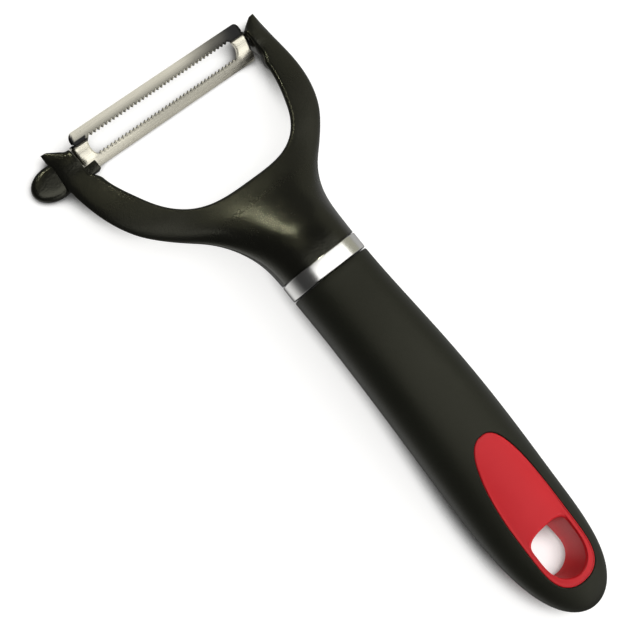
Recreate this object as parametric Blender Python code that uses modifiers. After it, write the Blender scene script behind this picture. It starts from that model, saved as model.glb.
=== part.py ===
"""Hand-held Y-peeler with a swivelling slotted blade.

Design frame: origin at the centre of the collar's rear edge, +Y towards the head, +X to the right, +Z up when the
peeler lies on its back. The empty "peeler_frame" tips that frame so that the arms and the handle stand on z = 0.
Dimensions are in millimetres and are turned into metres where vertices are written.
"""

import math

import bmesh
import bpy
import numpy as np

MM = 0.001
GAP = 0.3  # clearance between touching pieces

# ---------------------------------------------------------------- how the peeler lies
LIE_TILT_DEG = 3.14 # the handle's axis slopes down to the tail by this much
SHIFT = (4.03, 19.08, 13.156)  # design origin in the world, mm

# ---------------------------------------------------------------- handle
SQUARE = 2.2  # section exponent: 2 is an ellipse, more is squarer
NECK_A, NECK_B = 12.0, 9.9  # half width and half height at the collar
HANDLE_TAIL = -111.4
HANDLE_BELLY_Y, HANDLE_BELLY_A = -70.0, 13.9
GRIP_WALL = 1.8
GRIP_FRONT = -0.15

# ---------------------------------------------------------------- collar
COLLAR_REAR, COLLAR_FRONT = 0.15, 4.95
COLLAR_A, COLLAR_B = 12.05, 9.95
COLLAR_WALL = 1.05

# ---------------------------------------------------------------- head
NECK_FRONT_Y = 5.25  # where the neck meets the collar
CROTCH_Y = 33.2  # bottom of the U
U_HALF, U_TOP_Y = 31.0, 62.0  # half width of the U and where its sides run straight
BOSS_END_Y = 69.2
TIP = (37.5, 72.8)
EDGE_R = 1.1  # fillet along the U
UNDERCUT = 1.5  # the U's lower edge stands back from its upper edge by this much

# ---------------------------------------------------------------- blade and pivot
PIVOT = (67.1, -14.2)  # Y, Z of the swivel axis
PITCH_DEG = 23.4  # blade's lie in the photo, front edge up
BLADE_END = 30.4
BLADE_HALF = 6.0
BLADE_OFFSET = 0.4  # chord centre ahead of the axis
SHEET = 0.8
SLOT_HALF = 2.75
SLOT_END = 25.9
TOOTH_PITCH, TOOTH_DEPTH = 1.28, 0.5
CREST = 2.35  # sheet's crest above the axis
SAG = 0.95  # crest to long edge
TAB_R = 2.4
PIN_R, PIN_HOLE_R = 0.85, 1.15

# ---------------------------------------------------------------- hang insert
INSERT_MID_Y, INSERT_A, INSERT_UP, INSERT_DOWN = -85.0, 8.3, 28.0, 18.6
HOLE_MID_Y, HOLE_A, HOLE_UP, HOLE_DOWN = -91.5, 6.65, 5.4, 9.9
HOLE_LOW_DOWN = 8.2  # the hole's rear wall leans in towards the underside
PLATE_T = 2.0
TUBE_WALL = 1.5

# ---------------------------------------------------------------- tang
TANG_HALF = (6.0, 4.0)
TANG_END = -38.0
TANG_PIN_Y, TANG_PIN_R, TANG_PIN_HALF = -22.0, 1.0, 9.6


def spline(*knots):
    """Smooth curve through (station, value) pairs, level with its neighbours at both ends."""
    xs = np.array([k[0] for k in knots], float)
    ys = np.array([k[1] for k in knots], float)
    n = len(xs)
    h = np.diff(xs)
    m = np.zeros((n, n))
    r = np.zeros(n)
    m[0, 0] = m[-1, -1] = 1.0
    for i in range(1, n - 1):
        m[i, i - 1], m[i, i], m[i, i + 1] = h[i - 1], 2 * (h[i - 1] + h[i]), h[i]
        r[i] = 6 * ((ys[i + 1] - ys[i]) / h[i] - (ys[i] - ys[i - 1]) / h[i - 1])
    c = np.linalg.solve(m, r)

    def at(x):
        x = min(max(x, xs[0]), xs[-1])
        i = min(int(np.searchsorted(xs, x, side="right")) - 1, n - 2)
        a, b = (xs[i + 1] - x) / h[i], (x - xs[i]) / h[i]
        return float(a * ys[i] + b * ys[i + 1] + ((a**3 - a) * c[i] + (b**3 - b) * c[i + 1]) * h[i] ** 2 / 6)

    return at


def power(value, exponent):
    return math.copysign(abs(value) ** exponent, value)


# ---------------------------------------------------------------- head surfaces
outer_half = spline((5, 11.95), (12, 12.55), (17, 13.9), (22, 16.4), (26.5, 20.0), (30, 23.9), (34, 28.1), (38, 31.6),
                    (43, 34.5), (48.5, 36.4), (54, 37.4), (60, 37.8), (66, 37.8), (73, 37.6))
edge_z = spline((5, 0), (12, -0.7), (17, -2.1), (22, -3.6), (30, -5.8), (38, -7.4), (48.5, -9.5), (60, -12.4),
                (67, -13.85), (73, -14.0))
crest_z = spline((5, 0), (8, 0.05), (12, -0.15), (16, -0.72), (20, -1.65), (27, -3.3), (34, -4.95), (38, -5.6), (44, -7.4),
                 (50, -9.1), (56, -10.9), (60, -11.9), (63, -12.9), (67, -13.8), (73, -14.0))
crest_half = spline((5, 9.9), (8, 9.55), (12, 8.85), (16, 7.75), (20, 6.45), (27, 4.7), (34, 3.35), (38, 3.1), (44, 3.15),
                    (50, 3.25), (56, 3.25), (60, 3.5), (63, 4.3), (67, 5.4), (70, 3.6), (73, 1.6))


def head_point(psi, y, side, drop=0.0):
    """Point of the head's skin: psi runs from 0 on the centre plane to 90 degrees at the outer edge."""
    xi = math.sin(psi) ** (2 / SQUARE)
    mid = crest_z(y) + (edge_z(y) - crest_z(y)) * xi**2.8
    half = crest_half(y) * max(math.cos(psi), 0.0) ** (2 / SQUARE)
    return (xi * outer_half(y), y, mid + side * max(half - drop, 0.0))


def psi_at(x, y):
    return math.asin(min(1.0, (x / outer_half(y)) ** (SQUARE / 2)))


def smooth(a, b, x):
    k = min(1.0, max(0.0, (x - a) / (b - a)))
    return k * k * (3 - 2 * k)


def u_half(y):
    """Half width of the U: it draws in a little behind the blade."""
    k = min(1.0, max(0.0, (U_TOP_Y - y) / (U_TOP_Y - CROTCH_Y)))
    return U_HALF * (1 - k**2) ** (1 / 3.3) * (0.909 + 0.036 * smooth(45, 58, y) + 0.055 * smooth(57.5, 61.5, y))


def undercut(x, y):
    """The inner wall leans back under its upper edge, except at the crotch and beside the blade."""
    return UNDERCUT * smooth(3, 18, x) * (1 - smooth(55, 61, y))


# ---------------------------------------------------------------- handle surfaces
handle_a0 = spline((-70, 13.9), (-60, 13.8), (-50, 13.6), (-40, 13.3), (-30, 12.9), (-20, 12.45), (-10, 12.1), (0, 12.0),
                   (5, 12.0))
handle_b0 = spline((-112, 6.0), (-97, 7.1), (-83.5, 8.4), (-73, 9.3), (-57, 10.0), (-36, 10.2), (-18, 10.1), (0, 9.9),
                   (5, 9.9))
handle_z = spline((-112, 1.2), (-102, 0.8), (-95, 0.3), (-88, -0.1), (-81, -0.25), (-74, 0.0), (-67, 0.5), (-53, 1.5),
                  (-36, 1.95), (-20, 1.3), (-10, 0.6), (0, 0.0), (5, 0.0))


def tail(y, exponent):
    k = min(1.0, max(0.0, (HANDLE_BELLY_Y - y) / (HANDLE_BELLY_Y - HANDLE_TAIL)))
    return math.sqrt(max(0.0, 1 - k**exponent))


def handle_a(y):
    return handle_a0(y) * tail(y, 3.6)


def handle_b(y):
    return handle_b0(y) * tail(y, 6.0)


def handle_top(x, y):
    k = min(1.0, abs(x) / handle_a(y))
    return handle_z(y) + handle_b(y) * (1 - k**SQUARE) ** (1 / SQUARE)


def handle_bottom(x, y):
    return 2 * handle_z(y) - handle_top(x, y)


# ---------------------------------------------------------------- Blender helpers
def clear_scene():
    for ob in list(bpy.data.objects):
        bpy.data.objects.remove(ob, do_unlink=True)
    for block in (bpy.data.meshes, bpy.data.curves, bpy.data.materials):
        for item in list(block):
            block.remove(item)
    for coll in list(bpy.data.collections):
        bpy.data.collections.remove(coll)


def collection(name):
    coll = bpy.data.collections.new(name)
    bpy.context.scene.collection.children.link(coll)
    return coll


def material(name, rgb, roughness, metallic=0.0):
    mat = bpy.data.materials.new(name)
    mat.use_nodes = True
    bsdf = mat.node_tree.nodes["Principled BSDF"]
    bsdf.inputs["Base Color"].default_value = (*rgb, 1.0)
    bsdf.inputs["Roughness"].default_value = roughness
    bsdf.inputs["Metallic"].default_value = metallic
    mat.diffuse_color = (*rgb, 1.0)
    return mat


def add_object(name, mesh, coll, parent, mat=None):
    ob = bpy.data.objects.new(name, mesh)
    coll.objects.link(ob)
    ob.parent = parent
    if mat:
        mesh.materials.append(mat)
    return ob


def mesh_from(name, verts, faces, sharp_deg=35):
    """Mesh from millimetre vertices, closed or open at x = 0. The faces are turned to point out."""
    bm = bmesh.new()
    vs = [bm.verts.new((x * MM, y * MM, z * MM)) for x, y, z in verts]
    for f in faces:
        loop = []
        for i in f:
            if not loop or loop[-1] != i:
                loop.append(i)
        if len(loop) > 1 and loop[0] == loop[-1]:
            loop.pop()
        if len(loop) >= 3:
            bm.faces.new([vs[i] for i in loop])
    bmesh.ops.delete(bm, geom=[v for v in bm.verts if not v.link_faces], context="VERTS")
    bmesh.ops.recalc_face_normals(bm, faces=bm.faces)
    volume = 0.0
    for f in bm.faces:
        a = f.verts[0].co
        for i in range(1, len(f.verts) - 1):
            volume += a.dot(f.verts[i].co.cross(f.verts[i + 1].co))
    if volume < 0:
        bmesh.ops.reverse_faces(bm, faces=bm.faces)
    mesh = bpy.data.meshes.new(name)
    bm.to_mesh(mesh)
    bm.free()
    mesh.shade_smooth()
    mesh.set_sharp_from_angle(angle=math.radians(sharp_deg))
    return mesh


def tube_of_rings(rings, closed=False):
    """Faces between rings of equal length; closed joins the last ring to the first, else both ends are capped."""
    n = len(rings[0])
    verts = [p for ring in rings for p in ring]
    faces = []
    pairs = len(rings) if closed else len(rings) - 1
    for k in range(pairs):
        a, b = k * n, ((k + 1) % len(rings)) * n
        faces += [(a + i, a + (i + 1) % n, b + (i + 1) % n, b + i) for i in range(n)]
    if not closed:
        faces.append(tuple(range(n)))
        faces.append(tuple((len(rings) - 1) * n + i for i in reversed(range(n))))
    return verts, faces


def section(a, b, y, zc=0.0, n=48):
    out = []
    for i in range(n):
        t = 2 * math.pi * i / n
        out.append((a * power(math.cos(t), 2 / SQUARE), y, zc + b * power(math.sin(t), 2 / SQUARE)))
    return out


def boolean(ob, other, operation):
    m = ob.modifiers.new(f"{operation.lower()}_{other.name}", "BOOLEAN")
    m.operation = operation
    m.solver = "EXACT"
    m.object = other
    return m


def as_cutter(ob):
    ob.hide_render = True
    ob.display_type = "WIRE"
    return ob


def box(name, coll, parent, low, high):
    bm = bmesh.new()
    bmesh.ops.create_cube(bm, size=1.0)
    for v in bm.verts:
        v.co = [(low[i] + high[i]) / 2 * MM + v.co[i] * (high[i] - low[i]) * MM for i in range(3)]
    mesh = bpy.data.meshes.new(name)
    bm.to_mesh(mesh)
    bm.free()
    return as_cutter(add_object(name, mesh, coll, parent))


def rod(name, coll, parent, y, z, x0, x1, radius, segments=24):
    """Round cutter along X from x0 to x1."""
    bm = bmesh.new()
    bmesh.ops.create_cone(bm, cap_ends=True, segments=segments, radius1=radius * MM, radius2=radius * MM,
                          depth=abs(x1 - x0) * MM)
    mesh = bpy.data.meshes.new(name)
    bm.to_mesh(mesh)
    bm.free()
    ob = as_cutter(add_object(name, mesh, coll, parent))
    ob.location = ((x0 + x1) / 2 * MM, y * MM, z * MM)
    ob.rotation_euler = (0, math.pi / 2, 0)
    return ob


# ---------------------------------------------------------------- head yoke
def u_outline(steps_u, steps_side, steps_tip):
    """Right half of the arm's inner outline, from the crotch's middle to the tip: plan points (x, y)."""
    pts = []
    y_side = 58.0
    x_side = u_half(y_side)
    for i in range(steps_u):
        t = i / steps_u * math.pi / 2
        # even spacing round the U's corner
        x = x_side * math.sin(t) ** 1.15
        lo, hi = CROTCH_Y, y_side
        for _ in range(40):
            mid = (lo + hi) / 2
            if u_half(mid) < x:
                lo = mid
            else:
                hi = mid
        pts.append((x, hi))
    for i in range(steps_side):
        y = y_side + (BOSS_END_Y - 0.8 - y_side) * i / steps_side
        pts.append((u_half(y), y))
    tip_line = [(U_HALF, BOSS_END_Y - 0.8), (U_HALF + 0.2, BOSS_END_Y - 0.15), (U_HALF + 1.0, BOSS_END_Y + 0.1),
                (33.3, BOSS_END_Y + 0.95), (34.7, 71.25), (36.1, 72.15)]
    return pts + tip_line[: steps_tip]


def outer_outline(steps_ring, steps_arm):
    """Right half of the outer outline: round the collar's end, then up the arm to the tip: (psi, y)."""
    quarter = math.pi / 2
    pts = [(quarter * i / steps_ring, NECK_FRONT_Y) for i in range(steps_ring + 1)]
    for i in range(1, steps_arm + 1):
        k = i / steps_arm
        pts.append((quarter, NECK_FRONT_Y + (TIP[1] - 0.35 - NECK_FRONT_Y) * (1 - (1 - k) ** 1.35)))
    return pts


def yoke_half(steps_ring=9, steps_u=14, steps_side=4, across=8, fillet=3):
    inner = u_outline(steps_u, steps_side, 6)
    outer = outer_outline(steps_ring, len(inner) - 1 - steps_ring)
    verts, ribs = [], []

    def add(p):
        verts.append(p)
        return len(verts) - 1

    for k, ((xa, ya), (psi_b, yb)) in enumerate(zip(inner, outer)):
        psi_a = psi_at(xa, ya)
        near = head_point(psi_a + (psi_b - psi_a) * 0.01, ya + (yb - ya) * 0.01, 1)
        rx, ry = (near[0] - xa) / 0.01, (near[1] - ya) / 0.01
        # speed at which the rib leaves the inner outline, squarely to it
        before, after = inner[max(k - 1, 0)], inner[min(k + 1, len(inner) - 1)]
        tx, ty = after[0] - before[0], after[1] - before[1]
        speed = max(abs(rx * ty - ry * tx) / math.hypot(tx, ty), 0.35 * math.hypot(rx, ry))
        room = head_point(psi_a, ya, 1)[2] - head_point(psi_a, ya, -1)[2]
        r = min(EDGE_R, 0.45 * speed, 0.4 * room)
        arc = []
        for j in range(fillet + 1):
            turn = math.pi / 2 * (1 - j / fillet)
            arc.append((r * (1 - math.cos(turn)) / speed, r * (1 - math.sin(turn))))
        t0 = arc[0][0]
        rows = [(1 - (1 - t0) * j / across, 0.0) for j in range(across)] + arc
        lean = undercut(xa, ya) / math.hypot(tx, ty)
        xl, yl = xa + ty * lean, ya - tx * lean
        psi_l = psi_at(xl, yl)
        top, low = [], []
        for j, (t, drop) in enumerate(rows):
            top.append(add(head_point(psi_a + (psi_b - psi_a) * t, ya + (yb - ya) * t, 1, drop)))
            shared = j == 0 and k >= steps_ring
            low.append(top[0] if shared else add(head_point(psi_l + (psi_b - psi_l) * t, yl + (yb - yl) * t, -1, drop)))
        ribs.append(top + low[::-1])
    faces = []
    for a, b in zip(ribs, ribs[1:]):
        faces += [(a[j], a[j + 1], b[j + 1], b[j]) for j in range(len(a) - 1)]
    # flat end at the collar and blunt end at the tip
    ring = [ribs[k][0] for k in range(steps_ring + 1)] + [ribs[k][-1] for k in range(steps_ring - 1, -1, -1)]
    faces.append(tuple(reversed(ring)))
    faces.append(tuple(ribs[-1][:-1]))
    return verts, faces


def build_yoke(parts, cutters, frame, mat):
    verts, faces = yoke_half()
    ob = add_object("head_yoke", mesh_from("head_yoke", verts, faces), parts, frame, mat)
    m = ob.modifiers.new("mirror", "MIRROR")
    m.use_axis = (True, False, False)
    m.use_mirror_merge = True
    m.merge_threshold = 0.00002

    # eye-remover lobe on the left arm
    bm = bmesh.new()
    bmesh.ops.create_uvsphere(bm, u_segments=28, v_segments=12, radius=1.0)
    for v in bm.verts:
        v.co = (v.co.x * 7.0 * MM, v.co.y * 4.8 * MM, v.co.z * 1.75 * MM)
    mesh = bpy.data.meshes.new("lobe")
    bm.to_mesh(mesh)
    bm.free()
    mesh.shade_smooth()
    lobe = as_cutter(add_object("lobe", mesh, cutters, frame))
    lobe.location = (-38.9 * MM, 64.6 * MM, -14.7 * MM)
    boolean(ob, lobe, "UNION")

    # stop lug over the blade's rear strip and the ledge under it, both on the left arm
    lug_v = []
    for x, top in ((-33.0, -11.2), (-27.9, -9.4)):
        lug_v += [(x, 59.7, -12.1), (x, 62.7, -12.1), (x, 62.7, top), (x, 59.7, top)]
    lug_f = [(0, 1, 2, 3), (7, 6, 5, 4), (0, 4, 5, 1), (1, 5, 6, 2), (2, 6, 7, 3), (3, 7, 4, 0)]
    boolean(ob, as_cutter(add_object("stop_lug", mesh_from("stop_lug", lug_v, lug_f), cutters, frame)), "UNION")
    ledge_v = []
    for x in (-33.0, -28.4):
        ledge_v += [(x, 60.6, -16.7), (x, 63.4, -16.7), (x, 63.4, -15.35), (x, 60.6, -16.55)]
    ledge_f = [(0, 1, 2, 3), (7, 6, 5, 4), (0, 4, 5, 1), (1, 5, 6, 2), (2, 6, 7, 3), (3, 7, 4, 0)]
    boolean(ob, as_cutter(add_object("stop_ledge", mesh_from("stop_ledge", ledge_v, ledge_f), cutters, frame)), "UNION")

    # spigot inside the collar, then the tang
    v, f = tube_of_rings([section(NECK_A - 1.3, NECK_B - 1.3, 7.0, n=40), section(NECK_A - 1.3, NECK_B - 1.3, 0.2, n=40)])
    boolean(ob, as_cutter(add_object("spigot", mesh_from("spigot", v, f), cutters, frame)), "UNION")
    boolean(ob, box("tang", cutters, frame, (-TANG_HALF[0], TANG_END, -TANG_HALF[1]), (TANG_HALF[0], 2.0, TANG_HALF[1])),
            "UNION")
    boolean(ob, rod("tang_hole", cutters, frame, TANG_PIN_Y, 0.0, -9, 9, TANG_PIN_R + GAP, 20), "DIFFERENCE")
    for side, tag in ((-1, "left"), (1, "right")):
        boolean(ob, rod(f"boss_bore_{tag}", cutters, frame, PIVOT[0], PIVOT[1], side * 29.0, side * 35.0, PIN_HOLE_R, 20),
                "DIFFERENCE")
    return ob


# ---------------------------------------------------------------- blade
def blade_height(y):
    """Height of the sheet's outer face above the swivel axis, across the chord."""
    return CREST - SAG * (abs(y) / BLADE_HALF) ** 1.7


def build_blade(parts, cutters, frame, mat):
    rows = [-6.0, -5.0, -3.9, -SLOT_HALF, -1.85, -0.9, 0.0, 0.9, 1.85, SLOT_HALF, 3.9, 5.0, 6.0]
    low_t, high_t = 3, 9
    n_teeth = 38
    toothed = [i * TOOTH_PITCH / 2 for i in range(-n_teeth, n_teeth + 1)]
    last = toothed[-1]
    end_cols = 9  # columns outboard of the teeth on each side

    def end_of_row(y):
        if y > 5.9:
            return 28.7
        if y > 4.9:
            return 29.7
        if y > 3.5:
            return 30.05
        if y < -5.9:
            return 29.7
        return BLADE_END - 0.35

    def slot_end(y):
        return SLOT_END - 1.1 * (y / SLOT_HALF) ** 2

    bm = bmesh.new()
    grid = {}
    cols = len(toothed) + 2 * end_cols
    for c in range(cols):
        k = c - end_cols
        for j, y in enumerate(rows):
            inner = low_t < j < high_t
            if 0 <= k < len(toothed):
                if inner:
                    continue
                yy = y
                if j in (low_t, high_t):
                    tip = k % 2 == 1
                    yy = math.copysign(SLOT_HALF + (-0.5 if tip else 0.5) * TOOTH_DEPTH, y)
                grid[c, j] = bm.verts.new((toothed[k] * MM, (yy + BLADE_OFFSET) * MM, blade_height(yy) * MM))
                continue
            side = -1 if k < 0 else 1
            step = -k if k < 0 else k - len(toothed) + 1  # 1 is next to the teeth
            x0 = slot_end(y) if low_t <= j <= high_t else last + 0.6
            x1 = end_of_row(y)
            z = blade_height(y)
            if step <= 4:
                x = x0 + (x1 - x0) * (step - 1) / 3.0
            elif low_t <= j <= high_t:
                # bend and pivot tab
                foot = -math.sqrt(max(0.0, TAB_R**2 - min(abs(y), TAB_R) ** 2))
                x = BLADE_END - (0.08 if step == 5 else 0.0)
                z = {5: z - 0.3, 6: z - 0.9}.get(step, None)
                if z is None:
                    top = blade_height(y) - 0.9
                    z = top + (foot - top) * (step - 6) / 3.0
            else:
                continue
            grid[c, j] = bm.verts.new((side * x * MM, (y + BLADE_OFFSET * (1 if step <= 6 else (9 - step) / 3)) * MM,
                                       z * MM))
    for c in range(cols - 1):
        for j in range(len(rows) - 1):
            quad = [grid.get(q) for q in ((c, j), (c + 1, j), (c + 1, j + 1), (c, j + 1))]
            if all(quad):
                if low_t <= j < high_t and end_cols - 1 <= c <= end_cols + len(toothed) - 1:
                    continue
                bm.faces.new(quad)
    bm.normal_update()
    up = sum(f.normal.z for f in bm.faces)
    if up < 0:
        bmesh.ops.reverse_faces(bm, faces=bm.faces)
    mesh = bpy.data.meshes.new("blade")
    bm.to_mesh(mesh)
    bm.free()
    mesh.shade_smooth()
    ob = add_object("blade", mesh, parts, frame, mat)
    ob.location = (0, PIVOT[0] * MM, PIVOT[1] * MM)
    ob.rotation_euler = (math.radians(PITCH_DEG), 0, 0)
    m = ob.modifiers.new("sheet", "SOLIDIFY")
    m.thickness = SHEET * MM
    m.offset = -1.0
    m.use_even_offset = True
    for side, tag in ((-1, "left"), (1, "right")):
        boolean(ob, rod(f"tab_hole_{tag}", cutters, frame, PIVOT[0], PIVOT[1], side * 28.3, side * 32.0, PIN_HOLE_R, 20),
                "DIFFERENCE")
    return ob


def build_pin(name, side, parts, frame, mat):
    """Headed pin, turned about its own axis, which lies along X."""
    inner, shank, end = 28.45, 29.15, 34.5
    profile = [(0.0, end), (PIN_R - 0.2, end), (PIN_R, end - 0.2), (PIN_R, shank), (1.25, shank), (1.25, inner + 0.2),
               (1.0, inner), (0.0, inner)]
    bm = bmesh.new()
    vs = [bm.verts.new((r * MM, 0, h * MM)) for r, h in profile]
    for a, b in zip(vs, vs[1:]):
        bm.edges.new((a, b))
    mesh = bpy.data.meshes.new(name)
    bm.to_mesh(mesh)
    bm.free()
    ob = add_object(name, mesh, parts, frame, mat)
    ob.location = (0, PIVOT[0] * MM, PIVOT[1] * MM)
    ob.rotation_euler = (0, side * math.pi / 2, 0)
    m = ob.modifiers.new("turn", "SCREW")
    m.axis = "Z"
    m.steps = m.render_steps = 20
    m.use_merge_vertices = True
    m.merge_threshold = 0.00002
    m.use_smooth_shade = True
    return ob


# ---------------------------------------------------------------- collar and handle
def build_collar(parts, frame, mat):
    c = 0.25
    rings = [section(COLLAR_A - c, COLLAR_B - c, COLLAR_REAR, n=56), section(COLLAR_A, COLLAR_B, COLLAR_REAR + c, n=56),
             section(COLLAR_A, COLLAR_B, COLLAR_FRONT - c, n=56), section(COLLAR_A - c, COLLAR_B - c, COLLAR_FRONT, n=56),
             section(COLLAR_A - COLLAR_WALL, COLLAR_B - COLLAR_WALL, COLLAR_FRONT, n=56),
             section(COLLAR_A - COLLAR_WALL, COLLAR_B - COLLAR_WALL, COLLAR_REAR, n=56)]
    v, f = tube_of_rings(rings, closed=True)
    return add_object("collar", mesh_from("collar", v, f), parts, frame, mat)


def handle_rings(inset, y_first, y_last, stations, n):
    """Rings of the handle's shape, drawn in by inset. They bunch up towards the rounded tail."""
    rings = []
    for i in range(stations):
        k = i / (stations - 1)
        y = y_first + (y_last - y_first) * math.sin(math.pi / 2 * k) ** 1.0
        grow = y - inset * max(0.0, (HANDLE_BELLY_Y - y) / (HANDLE_BELLY_Y - HANDLE_TAIL))
        rings.append(section(max(handle_a(grow) - inset, 0.6), max(handle_b(grow) - inset, 0.5), y, handle_z(y), n))
    return rings


def outline(mid_y, a, up, down, grow, powers, n):
    """Closed plan outline: a half width about mid_y, with its own reach and squareness up and down."""
    (pu, qu), (pd, qd) = powers
    pts = []
    for i in range(n):
        t = 2 * math.pi * i / n
        c, s = math.cos(t), math.sin(t)
        p, q, h = (pu, qu, up) if s >= 0 else (pd, qd, down)
        pts.append(((a + grow) * power(c, 2 / q), mid_y + (h + grow) * power(s, 2 / p)))
    return pts


def insert_outline(grow=0.0, n=48):
    return outline(INSERT_MID_Y, INSERT_A, INSERT_UP, INSERT_DOWN, grow, ((2.4, 2.5), (5.0, 2.2)), n)


def hole_outline(grow=0.0, n=48, down=HOLE_DOWN):
    return outline(HOLE_MID_Y, HOLE_A, HOLE_UP, down, grow, ((4.5, 2.6), (2.8, 1.9)), n)


def build_insert(parts, frame, mat):
    n = 48
    rim, hole, tube = insert_outline(-0.05, n), hole_outline(0.0, n), hole_outline(TUBE_WALL, n)

    def between(r):
        return [(h[0] + (o[0] - h[0]) * r, h[1] + (o[1] - h[1]) * r) for h, o in zip(hole, rim)]

    def lift(plan, drop):
        return [(x, y, handle_top(x, y) - drop) for x, y in plan]

    rings = [lift(rim, 0.35), lift(between(0.97), 0.1), lift(between(0.9), 0.15), lift(between(0.7), 0.3),
             lift(between(0.45), 0.4), lift(between(0.2), 0.4), lift(between(0.05), 0.5), lift(hole, 0.9),
             [(x, y, handle_bottom(x, y) + 0.35) for x, y in hole_outline(0.0, n, HOLE_LOW_DOWN)],
             [(x, y, handle_bottom(x, y) + 0.35) for x, y in tube],
             lift(tube, PLATE_T), lift(rim, PLATE_T)]
    v, f = tube_of_rings(rings, closed=True)
    return add_object("hang_insert", mesh_from("hang_insert", v, f), parts, frame, mat)


def build_pocket(cutters, frame):
    """Room for the insert in grip and core: the plate's teardrop above, the tube's column right through."""
    rim, tube = insert_outline(GAP, 48), hole_outline(TUBE_WALL + GAP, 48)
    rings = [[(x, y, 20.0) for x, y in rim], [(x, y, handle_top(x, y) - PLATE_T - GAP) for x, y in rim],
             [(x, y, handle_top(x, y) - PLATE_T - GAP) for x, y in tube], [(x, y, -20.0) for x, y in tube]]
    v, f = tube_of_rings(rings)
    return as_cutter(add_object("insert_pocket", mesh_from("insert_pocket", v, f), cutters, frame))


def build_grip(parts, cutters, frame, pocket, mat):
    rings = handle_rings(0.0, GRIP_FRONT - 0.5, HANDLE_TAIL + 0.02, 26, 48)
    rings.insert(0, section(handle_a(0) - 0.35, handle_b(0) - 0.35, GRIP_FRONT, 0.0, 48))
    v, f = tube_of_rings(rings)
    ob = add_object("handle_grip", mesh_from("handle_grip", v, f), parts, frame, mat)
    v, f = tube_of_rings(handle_rings(GRIP_WALL, 2.0, -105.5, 16, 36))
    boolean(ob, as_cutter(add_object("grip_cavity", mesh_from("grip_cavity", v, f), cutters, frame)), "DIFFERENCE")
    boolean(ob, pocket, "DIFFERENCE")
    return ob


def build_core(parts, cutters, frame, pocket, mat):
    v, f = tube_of_rings(handle_rings(GRIP_WALL + GAP + 0.15, -1.0, -104.6, 16, 36))
    ob = add_object("handle_core", mesh_from("handle_core", v, f), parts, frame, mat)
    boolean(ob, box("tang_socket", cutters, frame, (-TANG_HALF[0] - GAP, TANG_END - 0.6, -TANG_HALF[1] - GAP),
                    (TANG_HALF[0] + GAP, 5.0, TANG_HALF[1] + GAP)), "DIFFERENCE")
    boolean(ob, rod("core_pin_hole", cutters, frame, TANG_PIN_Y, 0.0, -14, 14, TANG_PIN_R + GAP, 20), "DIFFERENCE")
    boolean(ob, pocket, "DIFFERENCE")
    return ob


def build_tang_pin(parts, frame, mat):
    bm = bmesh.new()
    bmesh.ops.create_cone(bm, cap_ends=True, segments=20, radius1=TANG_PIN_R * MM, radius2=TANG_PIN_R * MM,
                          depth=2 * TANG_PIN_HALF * MM)
    mesh = bpy.data.meshes.new("tang_pin")
    bm.to_mesh(mesh)
    bm.free()
    mesh.shade_smooth()
    mesh.set_sharp_from_angle(angle=math.radians(35))
    ob = add_object("tang_pin", mesh, parts, frame, mat)
    ob.location = (0, TANG_PIN_Y * MM, 0)
    ob.rotation_euler = (0, math.pi / 2, 0)
    return ob


def main():
    clear_scene()
    parts = collection("y_peeler")
    cutters = collection("cutters")

    black = material("moulded_black", (0.018, 0.018, 0.016), 0.45)
    soft = material("soft_black", (0.020, 0.021, 0.018), 0.62)
    red = material("red_plastic", (0.56, 0.020, 0.032), 0.38)
    steel = material("stainless", (0.62, 0.60, 0.56), 0.24, 1.0)
    grey = material("core_plastic", (0.10, 0.10, 0.10), 0.55)

    frame = bpy.data.objects.new("peeler_frame", None)
    parts.objects.link(frame)
    frame.location = [s * MM for s in SHIFT]
    frame.rotation_euler = (math.radians(LIE_TILT_DEG), 0, 0)

    floor = box("floor_cut", cutters, None, (-200, -200, -50), (200, 200, 0))
    pocket = build_pocket(cutters, frame)

    yoke = build_yoke(parts, cutters, frame, black)
    boolean(yoke, floor, "DIFFERENCE")
    build_blade(parts, cutters, frame, steel)
    build_pin("pivot_pin_left", -1, parts, frame, steel)
    build_pin("pivot_pin_right", 1, parts, frame, steel)
    build_collar(parts, frame, steel)
    grip = build_grip(parts, cutters, frame, pocket, soft)
    boolean(grip, floor, "DIFFERENCE")
    build_insert(parts, frame, red)
    build_core(parts, cutters, frame, pocket, grey)
    build_tang_pin(parts, frame, steel)


main()
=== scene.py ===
import math

import bmesh
import bpy
import numpy as np
from mathutils import Matrix, Vector


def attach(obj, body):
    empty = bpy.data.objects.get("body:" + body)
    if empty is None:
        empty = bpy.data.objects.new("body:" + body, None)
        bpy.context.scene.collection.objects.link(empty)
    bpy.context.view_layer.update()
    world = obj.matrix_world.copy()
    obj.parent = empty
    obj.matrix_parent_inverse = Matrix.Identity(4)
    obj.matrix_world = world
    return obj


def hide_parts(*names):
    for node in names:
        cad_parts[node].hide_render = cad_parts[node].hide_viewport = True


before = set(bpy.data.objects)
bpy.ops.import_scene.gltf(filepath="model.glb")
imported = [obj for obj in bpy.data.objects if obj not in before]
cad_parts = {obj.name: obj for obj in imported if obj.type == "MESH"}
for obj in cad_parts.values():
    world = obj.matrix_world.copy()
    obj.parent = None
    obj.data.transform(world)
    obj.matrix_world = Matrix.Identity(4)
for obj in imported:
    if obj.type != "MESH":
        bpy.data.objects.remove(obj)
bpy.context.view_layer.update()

# Everything below is drawn in the peeler's design frame, in millimetres: origin at the centre of the collar's rear
# edge, +Y towards the head, +X to the right, +Z up. TO_WORLD lays it down on z = 0 as the solids lie.
MM = 0.001
TILT = math.radians(3.14)
SHIFT = (4.03, 19.08, 13.156)
TO_WORLD = Matrix.Translation([s * MM for s in SHIFT]) @ Matrix.Rotation(TILT, 4, "X")

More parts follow.
